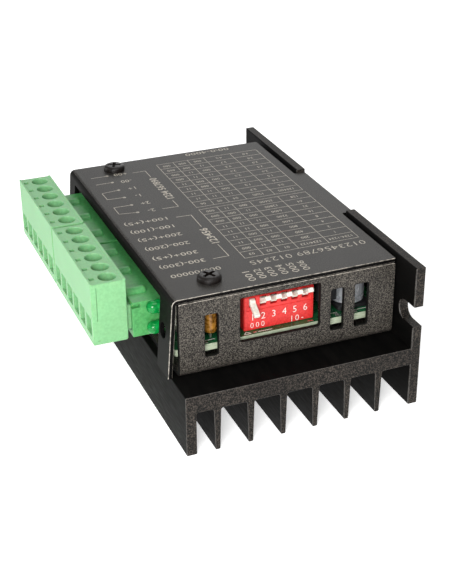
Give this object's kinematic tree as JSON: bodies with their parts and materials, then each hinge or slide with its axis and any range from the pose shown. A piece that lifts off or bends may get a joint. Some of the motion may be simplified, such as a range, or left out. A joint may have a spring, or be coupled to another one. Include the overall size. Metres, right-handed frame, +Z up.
{
  "type": "stepper driver module",
  "caption": "Stepper motor driver: bent-sheet housing on a finned heatsink, with pluggable screw terminals, status LEDs and a piano switch.",
  "frame": {"origin": "bottom centre of the whole module, at the level of the fin tips", "axes": "+X from the plugs across the fins to the heatsink's side wall, +Y from the switch end to the rear, +Z up"},
  "size_m": [0.0706, 0.096, 0.0358],
  "materials": {
    "anodised_black": "black anodised extrusion, satin",
    "coated_sheet": "fine black powder coat, semi-gloss",
    "black_steel": "black oxide",
    "board_green": "solder mask",
    "zinc_steel": "bright zinc",
    "pad_grey": "matt",
    "chip_black": "moulded epoxy",
    "capacitor_can": "bright",
    "capacitor_brown": "dipped",
    "led_green": "clear tinted epoxy",
    "switch_red": "moulded",
    "lever_white": "moulded",
    "plug_green": "moulded, pale green",
    "header_green": "moulded, green",
    "tinned": "tinned"
  },
  "bodies": {
    "housing": {"heatsink": "anodised_black", "chassis": "coated_sheet", "cover": "coated_sheet", "chassis_screws": "zinc_steel", "cover_screws": "black_steel", "circuit_board": "board_green", "board_spacers": "zinc_steel", "board_screws": "zinc_steel", "thermal_pad": "pad_grey", "driver_chip": "chip_black", "optocouplers": "chip_black", "logic_chip": "chip_black", "sense_resistors": "chip_black", "electrolytic_capacitor": "capacitor_can", "film_capacitor": "capacitor_brown", "voltage_regulator": "chip_black", "power_led": "led_green", "alarm_led": "led_green", "switch_body": "switch_red", "switch_pins": "tinned", "power_header": "header_green", "power_header_pins": "tinned", "signal_header": "header_green", "signal_header_pins": "tinned"},
    "switch_lever_1": {"switch_lever_1": "lever_white"},
    "switch_lever_2": {"switch_lever_2": "lever_white"},
    "switch_lever_3": {"switch_lever_3": "lever_white"},
    "switch_lever_4": {"switch_lever_4": "lever_white"},
    "switch_lever_5": {"switch_lever_5": "lever_white"},
    "switch_lever_6": {"switch_lever_6": "lever_white"},
    "power_plug": {"power_plug": "plug_green", "power_contacts": "tinned"},
    "power_screw_1": {"power_screw_1": "zinc_steel"},
    "power_clamp_1": {"power_clamp_1": "zinc_steel"},
    "power_screw_2": {"power_screw_2": "zinc_steel"},
    "power_clamp_2": {"power_clamp_2": "zinc_steel"},
    "power_screw_3": {"power_screw_3": "zinc_steel"},
    "power_clamp_3": {"power_clamp_3": "zinc_steel"},
    "power_screw_4": {"power_screw_4": "zinc_steel"},
    "power_clamp_4": {"power_clamp_4": "zinc_steel"},
    "power_screw_5": {"power_screw_5": "zinc_steel"},
    "power_clamp_5": {"power_clamp_5": "zinc_steel"},
    "power_screw_6": {"power_screw_6": "zinc_steel"},
    "power_clamp_6": {"power_clamp_6": "zinc_steel"},
    "signal_plug": {"signal_plug": "plug_green", "signal_contacts": "tinned"},
    "signal_screw_1": {"signal_screw_1": "zinc_steel"},
    "signal_clamp_1": {"signal_clamp_1": "zinc_steel"},
    "signal_screw_2": {"signal_screw_2": "zinc_steel"},
    "signal_clamp_2": {"signal_clamp_2": "zinc_steel"},
    "signal_screw_3": {"signal_screw_3": "zinc_steel"},
    "signal_clamp_3": {"signal_clamp_3": "zinc_steel"},
    "signal_screw_4": {"signal_screw_4": "zinc_steel"},
    "signal_clamp_4": {"signal_clamp_4": "zinc_steel"},
    "signal_screw_5": {"signal_screw_5": "zinc_steel"},
    "signal_clamp_5": {"signal_clamp_5": "zinc_steel"},
    "signal_screw_6": {"signal_screw_6": "zinc_steel"},
    "signal_clamp_6": {"signal_clamp_6": "zinc_steel"}
  },
  "joints": [
    {"name": "lever_1_flip", "type": "hinge", "parent": "housing", "child": "switch_lever_1", "pos_m": [-0.00105, -0.0364, 0.028], "axis": [-1, 0, 0], "range_deg": [0, 64]},
    {"name": "lever_2_flip", "type": "hinge", "parent": "housing", "child": "switch_lever_2", "pos_m": [0.00149, -0.0364, 0.028], "axis": [-1, 0, 0], "range_deg": [-64, 0]},
    {"name": "lever_3_flip", "type": "hinge", "parent": "housing", "child": "switch_lever_3", "pos_m": [0.00403, -0.0364, 0.028], "axis": [-1, 0, 0], "range_deg": [-64, 0]},
    {"name": "lever_4_flip", "type": "hinge", "parent": "housing", "child": "switch_lever_4", "pos_m": [0.00657, -0.0364, 0.028], "axis": [-1, 0, 0], "range_deg": [-64, 0]},
    {"name": "lever_5_flip", "type": "hinge", "parent": "housing", "child": "switch_lever_5", "pos_m": [0.00911, -0.0364, 0.028], "axis": [-1, 0, 0], "range_deg": [-64, 0]},
    {"name": "lever_6_flip", "type": "hinge", "parent": "housing", "child": "switch_lever_6", "pos_m": [0.01165, -0.0364, 0.028], "axis": [-1, 0, 0], "range_deg": [-64, 0]},
    {"name": "power_plug_pull", "type": "slide", "parent": "housing", "child": "power_plug", "axis": [-1, 0, 0], "range_m": [0, 0.012]},
    {"name": "power_screw_1_turn", "type": "hinge", "parent": "power_plug", "child": "power_screw_1", "pos_m": [-0.0307, 0.00505, 0.031], "axis": [0, 0, -1], "range_deg": [0, 1441]},
    {"name": "power_clamp_1_rise", "type": "slide", "parent": "power_plug", "child": "power_clamp_1", "axis": [0, 0, 1], "range_m": [0, 0.002]},
    {"name": "power_screw_2_turn", "type": "hinge", "parent": "power_plug", "child": "power_screw_2", "pos_m": [-0.0307, 0.01013, 0.031], "axis": [0, 0, -1], "range_deg": [0, 1441]},
    {"name": "power_clamp_2_rise", "type": "slide", "parent": "power_plug", "child": "power_clamp_2", "axis": [0, 0, 1], "range_m": [0, 0.002]},
    {"name": "power_screw_3_turn", "type": "hinge", "parent": "power_plug", "child": "power_screw_3", "pos_m": [-0.0307, 0.01521, 0.031], "axis": [0, 0, -1], "range_deg": [0, 1441]},
    {"name": "power_clamp_3_rise", "type": "slide", "parent": "power_plug", "child": "power_clamp_3", "axis": [0, 0, 1], "range_m": [0, 0.002]},
    {"name": "power_screw_4_turn", "type": "hinge", "parent": "power_plug", "child": "power_screw_4", "pos_m": [-0.0307, 0.02029, 0.031], "axis": [0, 0, -1], "range_deg": [0, 1441]},
    {"name": "power_clamp_4_rise", "type": "slide", "parent": "power_plug", "child": "power_clamp_4", "axis": [0, 0, 1], "range_m": [0, 0.002]},
    {"name": "power_screw_5_turn", "type": "hinge", "parent": "power_plug", "child": "power_screw_5", "pos_m": [-0.0307, 0.02537, 0.031], "axis": [0, 0, -1], "range_deg": [0, 1441]},
    {"name": "power_clamp_5_rise", "type": "slide", "parent": "power_plug", "child": "power_clamp_5", "axis": [0, 0, 1], "range_m": [0, 0.002]},
    {"name": "power_screw_6_turn", "type": "hinge", "parent": "power_plug", "child": "power_screw_6", "pos_m": [-0.0307, 0.03045, 0.031], "axis": [0, 0, -1], "range_deg": [0, 1441]},
    {"name": "power_clamp_6_rise", "type": "slide", "parent": "power_plug", "child": "power_clamp_6", "axis": [0, 0, 1], "range_m": [0, 0.002]},
    {"name": "signal_plug_pull", "type": "slide", "parent": "housing", "child": "signal_plug", "axis": [-1, 0, 0], "range_m": [0, 0.012]},
    {"name": "signal_screw_1_turn", "type": "hinge", "parent": "signal_plug", "child": "signal_screw_1", "pos_m": [-0.0307, -0.02695, 0.031], "axis": [0, 0, -1], "range_deg": [0, 1441]},
    {"name": "signal_clamp_1_rise", "type": "slide", "parent": "signal_plug", "child": "signal_clamp_1", "axis": [0, 0, 1], "range_m": [0, 0.002]},
    {"name": "signal_screw_2_turn", "type": "hinge", "parent": "signal_plug", "child": "signal_screw_2", "pos_m": [-0.0307, -0.02187, 0.031], "axis": [0, 0, -1], "range_deg": [0, 1441]},
    {"name": "signal_clamp_2_rise", "type": "slide", "parent": "signal_plug", "child": "signal_clamp_2", "axis": [0, 0, 1], "range_m": [0, 0.002]},
    {"name": "signal_screw_3_turn", "type": "hinge", "parent": "signal_plug", "child": "signal_screw_3", "pos_m": [-0.0307, -0.01679, 0.031], "axis": [0, 0, -1], "range_deg": [0, 1441]},
    {"name": "signal_clamp_3_rise", "type": "slide", "parent": "signal_plug", "child": "signal_clamp_3", "axis": [0, 0, 1], "range_m": [0, 0.002]},
    {"name": "signal_screw_4_turn", "type": "hinge", "parent": "signal_plug", "child": "signal_screw_4", "pos_m": [-0.0307, -0.01171, 0.031], "axis": [0, 0, -1], "range_deg": [0, 1441]},
    {"name": "signal_clamp_4_rise", "type": "slide", "parent": "signal_plug", "child": "signal_clamp_4", "axis": [0, 0, 1], "range_m": [0, 0.002]},
    {"name": "signal_screw_5_turn", "type": "hinge", "parent": "signal_plug", "child": "signal_screw_5", "pos_m": [-0.0307, -0.00663, 0.031], "axis": [0, 0, -1], "range_deg": [0, 1441]},
    {"name": "signal_clamp_5_rise", "type": "slide", "parent": "signal_plug", "child": "signal_clamp_5", "axis": [0, 0, 1], "range_m": [0, 0.002]},
    {"name": "signal_screw_6_turn", "type": "hinge", "parent": "signal_plug", "child": "signal_screw_6", "pos_m": [-0.0307, -0.00155, 0.031], "axis": [0, 0, -1], "range_deg": [0, 1441]},
    {"name": "signal_clamp_6_rise", "type": "slide", "parent": "signal_plug", "child": "signal_clamp_6", "axis": [0, 0, 1], "range_m": [0, 0.002]}
  ],
  "couplings": [
    {"joint": "power_screw_1_turn", "follows": "power_clamp_1_rise", "rad_per_m": 12566},
    {"joint": "power_screw_2_turn", "follows": "power_clamp_2_rise", "rad_per_m": 12566},
    {"joint": "power_screw_3_turn", "follows": "power_clamp_3_rise", "rad_per_m": 12566},
    {"joint": "power_screw_4_turn", "follows": "power_clamp_4_rise", "rad_per_m": 12566},
    {"joint": "power_screw_5_turn", "follows": "power_clamp_5_rise", "rad_per_m": 12566},
    {"joint": "power_screw_6_turn", "follows": "power_clamp_6_rise", "rad_per_m": 12566},
    {"joint": "signal_screw_1_turn", "follows": "signal_clamp_1_rise", "rad_per_m": 12566},
    {"joint": "signal_screw_2_turn", "follows": "signal_clamp_2_rise", "rad_per_m": 12566},
    {"joint": "signal_screw_3_turn", "follows": "signal_clamp_3_rise", "rad_per_m": 12566},
    {"joint": "signal_screw_4_turn", "follows": "signal_clamp_4_rise", "rad_per_m": 12566},
    {"joint": "signal_screw_5_turn", "follows": "signal_clamp_5_rise", "rad_per_m": 12566},
    {"joint": "signal_screw_6_turn", "follows": "signal_clamp_6_rise", "rad_per_m": 12566}
  ]
}
